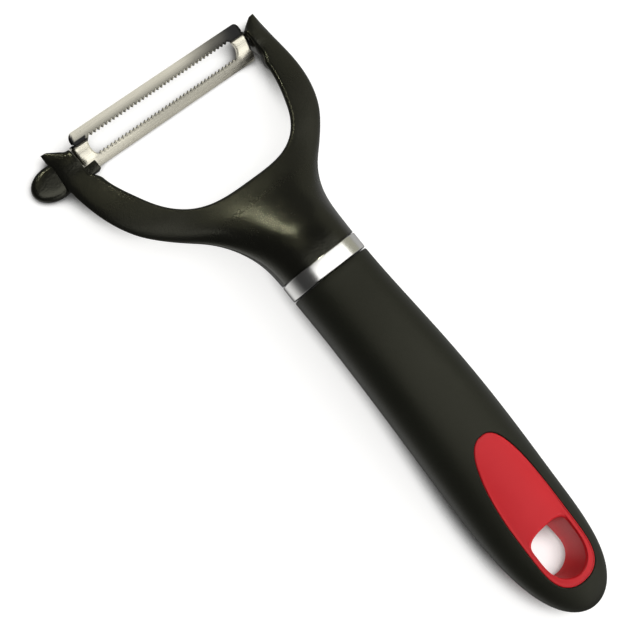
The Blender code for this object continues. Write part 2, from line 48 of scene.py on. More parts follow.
SQUARE = 2.2
NECK_A, NECK_B = 12.0, 9.9
HANDLE_TAIL = -111.4
HANDLE_BELLY_Y = -70.0
GRIP_WALL = 1.8
COLLAR_REAR, COLLAR_FRONT, COLLAR_A, COLLAR_B, COLLAR_WALL = 0.15, 4.95, 12.05, 9.95, 1.05
NECK_FRONT_Y = 5.25
CROTCH_Y = 33.2
U_HALF, U_TOP_Y = 31.0, 62.0
BOSS_END_Y = 69.2
TIP_Y = 72.8
EDGE_R = 1.1
UNDERCUT = 1.5
PIVOT = (67.1, -14.2)
PITCH = math.radians(23.4)
BLADE_END, BLADE_HALF, BLADE_OFFSET, SHEET = 30.4, 6.0, 0.4, 0.8
SLOT_HALF, SLOT_END = 2.75, 25.9
TOOTH_PITCH, TOOTH_DEPTH = 1.28, 0.62
CREST, SAG = 2.35, 0.95
TAB_R, PIN_R, PIN_HOLE_R = 2.4, 0.85, 1.15
INSERT_MID_Y, INSERT_A, INSERT_UP, INSERT_DOWN = -85.0, 8.3, 28.0, 18.6
HOLE_MID_Y, HOLE_A, HOLE_UP, HOLE_DOWN = -91.5, 6.65, 5.4, 9.9
HOLE_LOW_DOWN = 8.2
PLATE_T, TUBE_WALL = 2.0, 1.5


# ---------------------------------------------------------------- curves and surfaces
def spline(*knots):
    xs = np.array([k[0] for k in knots], float)
    ys = np.array([k[1] for k in knots], float)
    n = len(xs)
    h = np.diff(xs)
    m = np.zeros((n, n))
    r = np.zeros(n)
    m[0, 0] = m[-1, -1] = 1.0
    for i in range(1, n - 1):
        m[i, i - 1], m[i, i], m[i, i + 1] = h[i - 1], 2 * (h[i - 1] + h[i]), h[i]
        r[i] = 6 * ((ys[i + 1] - ys[i]) / h[i] - (ys[i] - ys[i - 1]) / h[i - 1])
    c = np.linalg.solve(m, r)

    def at(x):
        x = min(max(x, xs[0]), xs[-1])
        i = min(int(np.searchsorted(xs, x, side="right")) - 1, n - 2)
        a, b = (xs[i + 1] - x) / h[i], (x - xs[i]) / h[i]
        return float(a * ys[i] + b * ys[i + 1] + ((a**3 - a) * c[i] + (b**3 - b) * c[i + 1]) * h[i] ** 2 / 6)

    return at


def power(value, exponent):
    return math.copysign(abs(value) ** exponent, value)


def smooth(a, b, x):
    k = min(1.0, max(0.0, (x - a) / (b - a)))
    return k * k * (3 - 2 * k)


outer_half = spline((5, 11.95), (12, 12.55), (17, 13.9), (22, 16.4), (26.5, 20.0), (30, 23.9), (34, 28.1), (38, 31.6),
                    (43, 34.5), (48.5, 36.4), (54, 37.4), (60, 37.8), (66, 37.8), (73, 37.6))
edge_z = spline((5, 0), (12, -0.7), (17, -2.1), (22, -3.6), (30, -5.8), (38, -7.4), (48.5, -9.5), (60, -12.4),
                (67, -13.85), (73, -14.0))
crest_z = spline((5, 0), (8, 0.05), (12, -0.15), (16, -0.72), (20, -1.65), (27, -3.3), (34, -4.95), (38, -5.6), (44, -7.4),
                 (50, -9.1), (56, -10.9), (60, -11.9), (63, -12.9), (67, -13.8), (73, -14.0))
crest_half = spline((5, 9.9), (8, 9.55), (12, 8.85), (16, 7.75), (20, 6.45), (27, 4.7), (34, 3.35), (38, 3.1), (44, 3.15),
                    (50, 3.25), (56, 3.25), (60, 3.5), (63, 4.3), (67, 5.4), (70, 3.6), (73, 1.6))


def head_point(psi, y, side, drop=0.0, ridge=0.0):
    """Skin of the head: psi is 0 on the centre plane and 90 degrees at the outer edge, where the moulding's parting
    ridge stands proud by ridge."""
    xi = math.sin(psi) ** (2 / SQUARE)
    mid = crest_z(y) + (edge_z(y) - crest_z(y)) * xi**2.8
    half = crest_half(y) * max(math.cos(psi), 0.0) ** (2 / SQUARE)
    proud = ridge * math.exp(-((half / 0.16) ** 2)) if ridge else 0.0
    return (xi * outer_half(y) + proud, y, mid + side * max(half - drop, 0.0))


def psi_at(x, y):
    return math.asin(min(1.0, (x / outer_half(y)) ** (SQUARE / 2)))


def u_half(y):
    k = min(1.0, max(0.0, (U_TOP_Y - y) / (U_TOP_Y - CROTCH_Y)))
    return U_HALF * (1 - k**2) ** (1 / 3.3) * (0.909 + 0.036 * smooth(45, 58, y) + 0.055 * smooth(57.5, 61.5, y))


def undercut(x, y):
    """The inner wall leans back under its upper edge, except at the crotch and beside the blade."""
    return UNDERCUT * smooth(3, 18, x) * (1 - smooth(55, 61, y))


handle_a0 = spline((-70, 13.9), (-60, 13.8), (-50, 13.6), (-40, 13.3), (-30, 12.9), (-20, 12.45), (-10, 12.1), (0, 12.0),
                   (5, 12.0))
handle_b0 = spline((-112, 6.0), (-97, 7.1), (-83.5, 8.4), (-73, 9.3), (-57, 10.0), (-36, 10.2), (-18, 10.1), (0, 9.9),
                   (5, 9.9))
handle_z = spline((-112, 1.2), (-102, 0.8), (-95, 0.3), (-88, -0.1), (-81, -0.25), (-74, 0.0), (-67, 0.5), (-53, 1.5),
                  (-36, 1.95), (-20, 1.3), (-10, 0.6), (0, 0.0), (5, 0.0))


def tail(y, exponent):
    k = min(1.0, max(0.0, (HANDLE_BELLY_Y - y) / (HANDLE_BELLY_Y - HANDLE_TAIL)))
    return math.sqrt(max(0.0, 1 - k**exponent))


def handle_a(y):
    return handle_a0(y) * tail(y, 3.6)


def handle_b(y):
    return handle_b0(y) * tail(y, 6.0)


def handle_top(x, y):
    k = min(1.0, abs(x) / handle_a(y))
    return handle_z(y) + handle_b(y) * (1 - k**SQUARE) ** (1 / SQUARE)


def handle_bottom(x, y):
    return 2 * handle_z(y) - handle_top(x, y)


# ---------------------------------------------------------------- mesh helpers
scratch = bpy.data.collections.new("scratch")
bpy.context.scene.collection.children.link(scratch)


def mesh_object(name, verts, faces, placed=TO_WORLD):
    """Closed or half mesh from millimetre points, with its faces turned outward."""
    bm = bmesh.new()
    vs = [bm.verts.new((x * MM, y * MM, z * MM)) for x, y, z in verts]
    for f in faces:
        loop = []
        for i in f:
            if not loop or loop[-1] != i:
                loop.append(i)
        if len(loop) > 1 and loop[0] == loop[-1]:
            loop.pop()
        if len(loop) >= 3:
            bm.faces.new([vs[i] for i in loop])
    bmesh.ops.delete(bm, geom=[v for v in bm.verts if not v.link_faces], context="VERTS")
    return object_from(name, bm, placed)


def object_from(name, bm, placed=TO_WORLD):
    bmesh.ops.recalc_face_normals(bm, faces=bm.faces)
    volume = 0.0
    for f in bm.faces:
        a = f.verts[0].co
        for i in range(1, len(f.verts) - 1):
            volume += a.dot(f.verts[i].co.cross(f.verts[i + 1].co))
    if volume < 0:
        bmesh.ops.reverse_faces(bm, faces=bm.faces)
    mesh = bpy.data.meshes.new(name)
    bm.to_mesh(mesh)
    bm.free()
    mesh.transform(placed)
    ob = bpy.data.objects.new(name, mesh)
    scratch.objects.link(ob)
    return ob


def tube_of_rings(rings, closed=False):
    n = len(rings[0])
    verts = [p for ring in rings for p in ring]
    faces = []
    for k in range(len(rings) if closed else len(rings) - 1):
        a, b = k * n, ((k + 1) % len(rings)) * n
        faces += [(a + i, a + (i + 1) % n, b + (i + 1) % n, b + i) for i in range(n)]
    if not closed:
        faces.append(tuple(range(n)))
        faces.append(tuple((len(rings) - 1) * n + i for i in reversed(range(n))))
    return verts, faces


def section(a, b, y, zc=0.0, n=48):
    out = []
    for i in range(n):
        t = 2 * math.pi * i / n
        out.append((a * power(math.cos(t), 2 / SQUARE), y, zc + b * power(math.sin(t), 2 / SQUARE)))
    return out


def box(name, low, high, placed=TO_WORLD):
    v = [(x, y, z) for x in (low[0], high[0]) for y in (low[1], high[1]) for z in (low[2], high[2])]
    f = [(0, 1, 3, 2), (4, 6, 7, 5), (0, 4, 5, 1), (2, 3, 7, 6), (0, 2, 6, 4), (1, 5, 7, 3)]
    return mesh_object(name, v, f, placed)


def rounded(ob, r, steps=4):
    """The same body with rounded edges."""
    m = ob.modifiers.new("round", "BEVEL")
    m.width = r * MM
    m.segments = steps
    return settle(ob)


def rod(name, y, z, x0, x1, radius, n=48):
    rings = [[(x, y + radius * math.cos(2 * math.pi * i / n), z + radius * math.sin(2 * math.pi * i / n))
              for i in range(n)] for x in (x0, x1)]
    return mesh_object(name, *tube_of_rings(rings))


def settle(ob):
    """Turns the object's modifiers into its mesh."""
    dg = bpy.context.evaluated_depsgraph_get()
    made = bpy.data.meshes.new_from_object(ob.evaluated_get(dg))
    old = ob.data
    ob.modifiers.clear()
    ob.data = made
    bpy.data.meshes.remove(old)
    return ob


def join_cut(ob, *steps):
    """Union or difference with other closed meshes, one after another; those are removed."""
    for operation, other in steps:
        m = ob.modifiers.new("op", "BOOLEAN")
        m.operation = operation
        m.solver = "MANIFOLD"
        m.object = other
        bpy.context.view_layer.update()
        settle(ob)
        bpy.data.objects.remove(other, do_unlink=True)
    return ob


def finish_mesh(ob, material, sharp_deg=35, smooth_all=True):
    ob.data.materials.clear()
    ob.data.materials.append(material)
    if smooth_all:
        ob.data.shade_smooth()
        ob.data.set_sharp_from_angle(angle=math.radians(sharp_deg))
    scratch.objects.unlink(ob)
    bpy.context.scene.collection.objects.link(ob)
    return ob


# ---------------------------------------------------------------- materials
class Nodes:
    """Short hand for a node material on one Principled shader."""

    def __init__(self, name, rgb, roughness, metallic=0.0, specular=0.5, **more):
        self.mat = bpy.data.materials.new(name)
        self.mat.use_nodes = True
        self.tree = self.mat.node_tree
        self.bsdf = self.tree.nodes["Principled BSDF"]
        self.set("Base Color", (*rgb, 1.0))
        self.set("Roughness", roughness)
        self.set("Metallic", metallic)
        self.set("Specular IOR Level", specular)
        for key, value in more.items():
            self.set(key.replace("_", " "), value)
        self.coord = self.tree.nodes.new("ShaderNodeTexCoord").outputs["Object"]

    def set(self, socket, value):
        self.bsdf.inputs[socket].default_value = value

    def link(self, out, socket):
        self.tree.links.new(out, socket)

    def stretched(self, scale, turn=(0, 0, 0)):
        m = self.tree.nodes.new("ShaderNodeMapping")
        m.inputs["Scale"].default_value = scale
        m.inputs["Rotation"].default_value = turn
        self.link(self.coord, m.inputs["Vector"])
        return m.outputs["Vector"]

    def noise(self, scale, detail=3.0, rough=0.55, vector=None):
        n = self.tree.nodes.new("ShaderNodeTexNoise")
        n.inputs["Scale"].default_value = scale
        n.inputs["Detail"].default_value = detail
        n.inputs["Roughness"].default_value = rough
        self.link(vector or self.coord, n.inputs["Vector"])
        return n.outputs["Fac"]

    def spots(self, scale, vector=None):
        n = self.tree.nodes.new("ShaderNodeTexVoronoi")
        n.inputs["Scale"].default_value = scale
        self.link(vector or self.coord, n.inputs["Vector"])
        return n.outputs["Distance"]

    def ramp(self, fac, low, high, a, b):
        m = self.tree.nodes.new("ShaderNodeMapRange")
        m.interpolation_type = "SMOOTHSTEP"
        for key, value in (("From Min", low), ("From Max", high), ("To Min", a), ("To Max", b)):
            m.inputs[key].default_value = value
        self.link(fac, m.inputs["Value"])
        return m.outputs["Result"]

    def math(self, op, a, b):
        m = self.tree.nodes.new("ShaderNodeMath")
        m.operation = op
        for i, v in enumerate((a, b)):
            if isinstance(v, (int, float)):
                m.inputs[i].default_value = v
            else:
                self.link(v, m.inputs[i])
        return m.outputs[0]

    def mix(self, fac, a, b):
        m = self.tree.nodes.new("ShaderNodeMix")
        m.data_type = "RGBA"
        self.link(fac, m.inputs["Factor"])
        for key, v in (("A", a), ("B", b)):
            socket = [s for s in m.inputs if s.name == key and s.type == "RGBA"][0]
            if isinstance(v, tuple):
                socket.default_value = (*v, 1.0)
            else:
                self.link(v, socket)
        return [s for s in m.outputs if s.type == "RGBA"][0]

    def attribute(self, name):
        a = self.tree.nodes.new("ShaderNodeAttribute")
        a.attribute_name = name
        return a.outputs["Fac"]

    def bumps(self, *layers):
        """Layers of (height, depth in metres), one on another."""
        normal = None
        for height, depth in layers:
            b = self.tree.nodes.new("ShaderNodeBump")
            b.inputs["Strength"].default_value = 1.0
            b.inputs["Distance"].default_value = depth
            self.link(height, b.inputs["Height"])
            if normal:
                self.link(normal, b.inputs["Normal"])
            normal = b.outputs["Normal"]
        self.link(normal, self.bsdf.inputs["Normal"])


def moulded_black():
    """Satin nylon with the fine spark-eroded grain of the mould, and the faint rub of handling."""
    m = Nodes("moulded_black_satin", (0.008, 0.008, 0.0064), 0.2, specular=0.35, Specular_Tint=(1.0, 0.99, 0.78, 1.0))
    broad = m.noise(45, 2)
    fine = m.noise(2600, 4, 0.65)
    rub = m.ramp(m.noise(330, 5, 0.62, m.stretched((1, 0.35, 1))), 0.42, 0.72, 0, 1)
    m.link(m.mix(broad, (0.0068, 0.0069, 0.0054), (0.0100, 0.0100, 0.0080)), m.bsdf.inputs["Base Color"])
    rough = m.math("ADD", m.ramp(broad, 0.3, 0.7, 0.175, 0.215), m.math("MULTIPLY", rub, 0.04))
    rough = m.math("ADD", rough, m.math("MULTIPLY", m.attribute("grain"), 0.16))
    m.link(m.math("ADD", rough, m.ramp(fine, 0.3, 0.7, -0.02, 0.04)), m.bsdf.inputs["Roughness"])
    m.bumps((m.noise(25, 2), 0.00010), (m.noise(1300, 3), 0.000042), (m.spots(2400), 0.000014), (fine, 0.000018))
    return m.mat


def soft_black():
    """Soft-touch rubber skin: dull, with a faint bloom and finger smudges."""
    m = Nodes("soft_touch_black", (0.0125, 0.0130, 0.0088), 0.46, specular=0.2, Specular_Tint=(1.0, 0.99, 0.76, 1.0))
    broad = m.noise(38, 3)
    smudge = m.ramp(m.noise(110, 4, 0.6, m.stretched((1, 0.5, 1))), 0.45, 0.7, 0, 1)
    fine = m.noise(5200, 3, 0.6)
    dust = m.ramp(m.noise(2600, 2, 0.5), 0.70, 0.80, 0, 1)
    base = m.mix(broad, (0.0105, 0.0110, 0.0082), (0.0145, 0.0150, 0.0112))
    m.link(m.mix(m.math("MULTIPLY", dust, 0.35), base, (0.035, 0.035, 0.030)), m.bsdf.inputs["Base Color"])
    rough = m.math("ADD", m.ramp(broad, 0.3, 0.7, 0.43, 0.48), m.math("MULTIPLY", smudge, -0.05))
    m.link(m.math("ADD", rough, m.ramp(fine, 0.3, 0.7, -0.03, 0.03)), m.bsdf.inputs["Roughness"])
    m.bumps((m.noise(30, 2), 0.00012), (m.noise(1500, 3), 0.000012), (fine, 0.000016))
    return m.mat


def red_plastic():
    m = Nodes("red_semi_gloss", (0.56, 0.020, 0.032), 0.36, specular=0.18)
    broad = m.noise(60, 3)
    fine = m.noise(3800, 3, 0.6)
    m.link(m.mix(broad, (0.61, 0.0145, 0.0210), (0.72, 0.0220, 0.0310)), m.bsdf.inputs["Base Color"])
    m.link(m.math("ADD", m.ramp(broad, 0.3, 0.7, 0.32, 0.40), m.ramp(fine, 0.3, 0.7, -0.02, 0.03)),
           m.bsdf.inputs["Roughness"])
    m.bumps((m.noise(90, 2), 0.00005), (fine, 0.000012))
    return m.mat


def blade_steel():
    """Ground stainless strip: lines along its length, dull heat tint, small stains."""
    m = Nodes("ground_stainless", (0.66, 0.63, 0.57), 0.28, metallic=1.0)
    lines = m.noise(1, 4, 0.6, m.stretched((160, 9000, 9000)))
    long_lines = m.noise(1, 3, 0.5, m.stretched((30, 2600, 2600)))
    tint = m.noise(170, 3, 0.55, m.stretched((0.6, 1, 1)))
    stain = m.ramp(m.noise(700, 4, 0.6), 0.62, 0.74, 0, 1)
    base = m.mix(tint, (0.53, 0.505, 0.415), (0.60, 0.575, 0.485))
    base = m.mix(m.math("MULTIPLY", stain, 0.5), base, (0.40, 0.375, 0.30))
    # painted dark reflection and shade on the steel, stored per vertex: 0 is clean steel, 1 is black
    m.link(m.mix(m.attribute("painted_reflection_shade"), base, (0.012, 0.012, 0.012)), m.bsdf.inputs["Base Color"])
    m.link(m.math("ADD", m.ramp(lines, 0.3, 0.7, 0.22, 0.34), m.math("MULTIPLY", stain, 0.08)),
           m.bsdf.inputs["Roughness"])
    m.bumps((long_lines, 0.000006), (lines, 0.000004))
    return m.mat


def collar_steel():
    """Polished band with fine lines round it."""
    m = Nodes("polished_stainless", (0.62, 0.615, 0.59), 0.2, metallic=1.0)
    lines = m.noise(1, 4, 0.6, m.stretched((200, 9000, 200)))
    broad = m.noise(120, 2)
    m.link(m.mix(broad, (0.60, 0.595, 0.575), (0.65, 0.645, 0.625)), m.bsdf.inputs["Base Color"])
    m.link(m.ramp(lines, 0.3, 0.7, 0.20, 0.27), m.bsdf.inputs["Roughness"])
    m.bumps((lines, 0.000002), (m.noise(400, 2), 0.000002))
    return m.mat


def pin_steel():
    m = Nodes("pin_stainless", (0.72, 0.71, 0.68), 0.22, metallic=1.0)
    fine = m.noise(3000, 3)
    m.link(m.ramp(fine, 0.3, 0.7, 0.16, 0.30), m.bsdf.inputs["Roughness"])
    m.bumps((fine, 0.000004))
    return m.mat


def core_plastic():
    m = Nodes("grey_core_plastic", (0.10, 0.10, 0.10), 0.55)
    fine = m.noise(1800, 4)
    m.link(m.mix(fine, (0.085, 0.085, 0.086), (0.115, 0.115, 0.112)), m.bsdf.inputs["Base Color"])
    m.link(m.ramp(fine, 0.3, 0.7, 0.48, 0.60), m.bsdf.inputs["Roughness"])
    m.bumps((fine, 0.00002))
    return m.mat


BLACK, SOFT, RED = moulded_black(), soft_black(), red_plastic()
STEEL, BAND, PIN, CORE = blade_steel(), collar_steel(), pin_steel(), core_plastic()


# ---------------------------------------------------------------- head yoke
def dense(points, step):
    """The same polyline with rounded corners, in even small steps."""
    pts = [np.array(p, float) for p in points]
    for _ in range(3):
        cut = [pts[0]]
        for a, b in zip(pts, pts[1:]):
            cut += [a * 0.75 + b * 0.25, a * 0.25 + b * 0.75]
        cut.append(pts[-1])
        pts = cut
    at = [0.0]
    for a, b in zip(pts, pts[1:]):
        at.append(at[-1] + float(np.linalg.norm(b - a)))
    out = []
    for i in range(step):
        d = at[-1] * i / step
        k = max(j for j in range(len(at)) if at[j] <= d)
        f = (d - at[k]) / max(at[k + 1] - at[k], 1e-9)
        out.append(tuple(pts[k] * (1 - f) + pts[k + 1] * f))
    return out


def u_outline(steps_u, steps_side, steps_tip):
    pts = []
    y_side = 58.0
    x_side = u_half(y_side)
    for i in range(steps_u):
        t = i / steps_u * math.pi / 2
        x = x_side * math.sin(t) ** 1.15
        lo, hi = CROTCH_Y, y_side
        for _ in range(40):
            mid = (lo + hi) / 2
            if u_half(mid) < x:
                lo = mid
            else:
                hi = mid
        pts.append((x, hi))
    for i in range(steps_side):
        y = y_side + (BOSS_END_Y - 0.8 - y_side) * i / steps_side
        pts.append((u_half(y), y))
    corner = [(U_HALF, BOSS_END_Y - 0.8), (U_HALF + 0.05, BOSS_END_Y + 0.2), (32.2, BOSS_END_Y + 0.1), (33.5, 70.6),
              (36.2, 72.3)]
    return pts + dense(corner, steps_tip)


def outer_outline(steps_ring, steps_arm):
    quarter = math.pi / 2
    pts = [(quarter * i / steps_ring, NECK_FRONT_Y) for i in range(steps_ring + 1)]
    for i in range(1, steps_arm + 1):
        k = i / steps_arm
        pts.append((quarter, NECK_FRONT_Y + (TIP_Y - 0.35 - NECK_FRONT_Y) * (1 - (1 - k) ** 1.35)))
    return pts


def yoke_half(scale=5, across=30, fillet=8):
    steps_ring = 9 * scale
    inner = u_outline(14 * scale, 4 * scale, 6 * scale)
    outer = outer_outline(steps_ring, len(inner) - 1 - steps_ring)
    verts, ribs = [], []

    def add(p):
        verts.append(p)
        return len(verts) - 1

    for k, ((xa, ya), (psi_b, yb)) in enumerate(zip(inner, outer)):
        psi_a = psi_at(xa, ya)
        near = head_point(psi_a + (psi_b - psi_a) * 0.01, ya + (yb - ya) * 0.01, 1)
        rx, ry = (near[0] - xa) / 0.01, (near[1] - ya) / 0.01
        before, after = inner[max(k - 1, 0)], inner[min(k + 1, len(inner) - 1)]
        tx, ty = after[0] - before[0], after[1] - before[1]
        speed = max(abs(rx * ty - ry * tx) / math.hypot(tx, ty), 0.35 * math.hypot(rx, ry))
        room = head_point(psi_a, ya, 1)[2] - head_point(psi_a, ya, -1)[2]
        r = min(EDGE_R, 0.45 * speed, 0.4 * room)
        arc = []
        for j in range(fillet + 1):
            turn = math.pi / 2 * (1 - j / fillet)
            arc.append((r * (1 - math.cos(turn)) / speed, r * (1 - math.sin(turn))))
        t0 = arc[0][0]
        ridge = 0.11 * smooth(steps_ring - 1, steps_ring + 2, k)
        rows = [(1 - (1 - t0) * (j / across) ** 1.6, 0.0) for j in range(across)] + arc
        lean = undercut(xa, ya) / math.hypot(tx, ty)
        xl, yl = xa + ty * lean, ya - tx * lean
        psi_l = psi_at(xl, yl)
        top, low = [], []
        for j, (t, drop) in enumerate(rows):
            top.append(add(head_point(psi_a + (psi_b - psi_a) * t, ya + (yb - ya) * t, 1, drop, ridge)))
            shared = j == 0 and k >= steps_ring
            low.append(top[0] if shared
                       else add(head_point(psi_l + (psi_b - psi_l) * t, yl + (yb - yl) * t, -1, drop, ridge)))
        ribs.append(top + low[::-1])
    faces = []
    for a, b in zip(ribs, ribs[1:]):
        faces += [(a[j], a[j + 1], b[j + 1], b[j]) for j in range(len(a) - 1)]
    ring = [ribs[k][0] for k in range(steps_ring + 1)] + [ribs[k][-1] for k in range(steps_ring - 1, -1, -1)]
    faces.append(tuple(reversed(ring)))
    faces.append(tuple(ribs[-1][:-1]))
    return verts, faces


def lobe():
    """Thin spoon-edged lobe on the left arm."""
    n, rings = 96, []
    for i in range(1, 40):
        t = math.pi * i / 40 - math.pi / 2
        r, h = max(math.cos(t), 0.0) ** 0.45, power(math.sin(t), 0.9)
        rings.append([(-38.9 + 7.0 * r * math.cos(2 * math.pi * k / n), 64.6 + 4.8 * r * math.sin(2 * math.pi * k / n),
                       -14.7 + 1.75 * h) for k in range(n)])
    return mesh_object("lobe", *tube_of_rings(rings))


def build_yoke():
    verts, faces = yoke_half()
    ob = mesh_object("head_yoke_moulding", verts, faces, Matrix.Identity(4))
    m = ob.modifiers.new("mirror", "MIRROR")
    m.use_axis = (True, False, False)
    m.use_mirror_merge = True
    m.merge_threshold = 0.00001
    settle(ob)
    ob.data.transform(TO_WORLD)
    lug_v = []
    for x, top in ((-33.0, -11.2), (-27.9, -9.4)):
        lug_v += [(x, 59.7, -12.1), (x, 62.7, -12.1), (x, 62.7, top), (x, 59.7, top)]
    lug_f = [(0, 1, 2, 3), (7, 6, 5, 4), (0, 4, 5, 1), (1, 5, 6, 2), (2, 6, 7, 3), (3, 7, 4, 0)]
    wedge_v = []
    for x in (-33.0, -28.4):
        wedge_v += [(x, 60.6, -16.7), (x, 63.4, -16.7), (x, 63.4, -15.35), (x, 60.6, -16.55)]
    wedge_f = [(0, 1, 2, 3), (7, 6, 5, 4), (0, 4, 5, 1), (1, 5, 6, 2), (2, 6, 7, 3), (3, 7, 4, 0)]
    spigot = mesh_object("spigot", *tube_of_rings([section(NECK_A - 1.3, NECK_B - 1.3, 7.0, n=96),
                                                   section(NECK_A - 1.3, NECK_B - 1.3, 0.2, n=96)]))
    join_cut(ob,
             ("UNION", lobe()),
             ("UNION", rounded(mesh_object("lug", lug_v, lug_f), 0.4)),
             ("UNION", mesh_object("wedge", wedge_v, wedge_f)),
             ("UNION", spigot),
             ("UNION", box("tang", (-6, -38, -4), (6, 2, 4))),
             ("DIFFERENCE", rod("tang_hole", -22, 0, -9, 9, 1.3)),
             ("DIFFERENCE", rod("bore_left", PIVOT[0], PIVOT[1], -29, -35, PIN_HOLE_R)),
             ("DIFFERENCE", rod("bore_right", PIVOT[0], PIVOT[1], 29, 35, PIN_HOLE_R)),
             ("DIFFERENCE", box("floor_cut", (-200, -200, -50), (200, 200, 0), Matrix.Identity(4))))
    # the top of the neck is polished by handling; the arms' roots keep the mould's grain
    back = TO_WORLD.inverted()
    grain = ob.data.attributes.new("grain", "FLOAT", "POINT")
    for v in ob.data.vertices:
        p = back @ v.co / MM
        grain.data[v.index].value = smooth(24, 32, p.y) * (1 - smooth(42, 54, p.y))
    return finish_mesh(ob, BLACK, 38)


# ---------------------------------------------------------------- blade
RAISE = 0.55
ROW_END = 24.66


def blade_height(x, y):
    """Sheet's outer face above the swivel axis. The front strip stands above the end plates on a short riser."""
    base = CREST - SAG * (abs(y) / BLADE_HALF) ** 1.7
    toothed = 1 - smooth(24.2, 25.6, abs(x))
    lift = RAISE * smooth(1.55, 2.6, y + 0.5 * toothed) - 0.12
    droop = 0.55 * max(0.0, (abs(x) - 28.9) / 1.2) ** 2 * smooth(1.0, 2.6, y)
    return base + lift - droop


fade = spline((5, 0.0), (10, 0.12), (14, 0.40), (17, 0.58), (20, 0.77), (23, 0.86), (25.5, 0.96), (28, 1.0), (31, 1.0))


def painted_reflection_shade_at(x, y):
    """Painted dark reflection and shade on the steel: the front strip is painted darker towards its right end, its
    left end gets a painted black band, and the rear strip is painted darker towards its right.
    """
    edge = abs(y) - tooth(x) if abs(x) < ROW_END else 9.0
    if y < 0:
        # painted shade on the rear strip, darker towards the right and lighter towards its outer edge
        dull = (0.12 + 0.30 * smooth(-22, 2, x)) * (1 - 0.6 * smooth(4.3, 5.6, -y))
        dull += 0.16 * (1 - smooth(3.3, 4.3, -y))
        return dull * smooth(2.3, 2.9, -y) * (1 - smooth(25.5, 26.5, abs(x)))
    # painted dark reflection on the front strip, deeper towards its right end; a painted black band at its left end;
    # kept lighter along the teeth on the left part
    strip = smooth(2.0, 2.3, y)
    across = 0.58 * (1 - smooth(2.9, 5.4, y))
    along = fade(x) if x > 5 else 0.0
    painted_end_band = max(smooth(28.75, 29.0, -x), (1 - smooth(3.55, 3.8, y)) * smooth(25.3, 25.7, -x))
    rim = 1 - 0.8 * (1 - smooth(0.1, 0.4, edge)) * (1 - smooth(14, 24, x))
    return strip * max((1 - (1 - across) * (1 - along) * 0.52) * rim, painted_end_band)


def slot_end(y):
    return SLOT_END - 1.1 * (y / SLOT_HALF) ** 2


def tooth(x):
    """Half width of the slot along the toothed edges."""
    w = abs(((x / TOOTH_PITCH) % 1.0) - 0.5) * 2
    return SLOT_HALF + TOOTH_DEPTH * (0.5 - (1 - w) ** 1.15)


def end_of_row(y):
    """Outer end of the sheet's rows beside the tabs, with the front corner rounded off."""
    if y > 0:
        k = max(0.0, (y - 3.7) / 2.3)
        return 30.1 - 1.7 * (1 - math.sqrt(max(0.0, 1 - k * k)))
    k = max(0.0, (-y - 5.2) / 0.8)
    return BLADE_END - 0.35 - 0.6 * (1 - math.sqrt(max(0.0, 1 - k * k)))


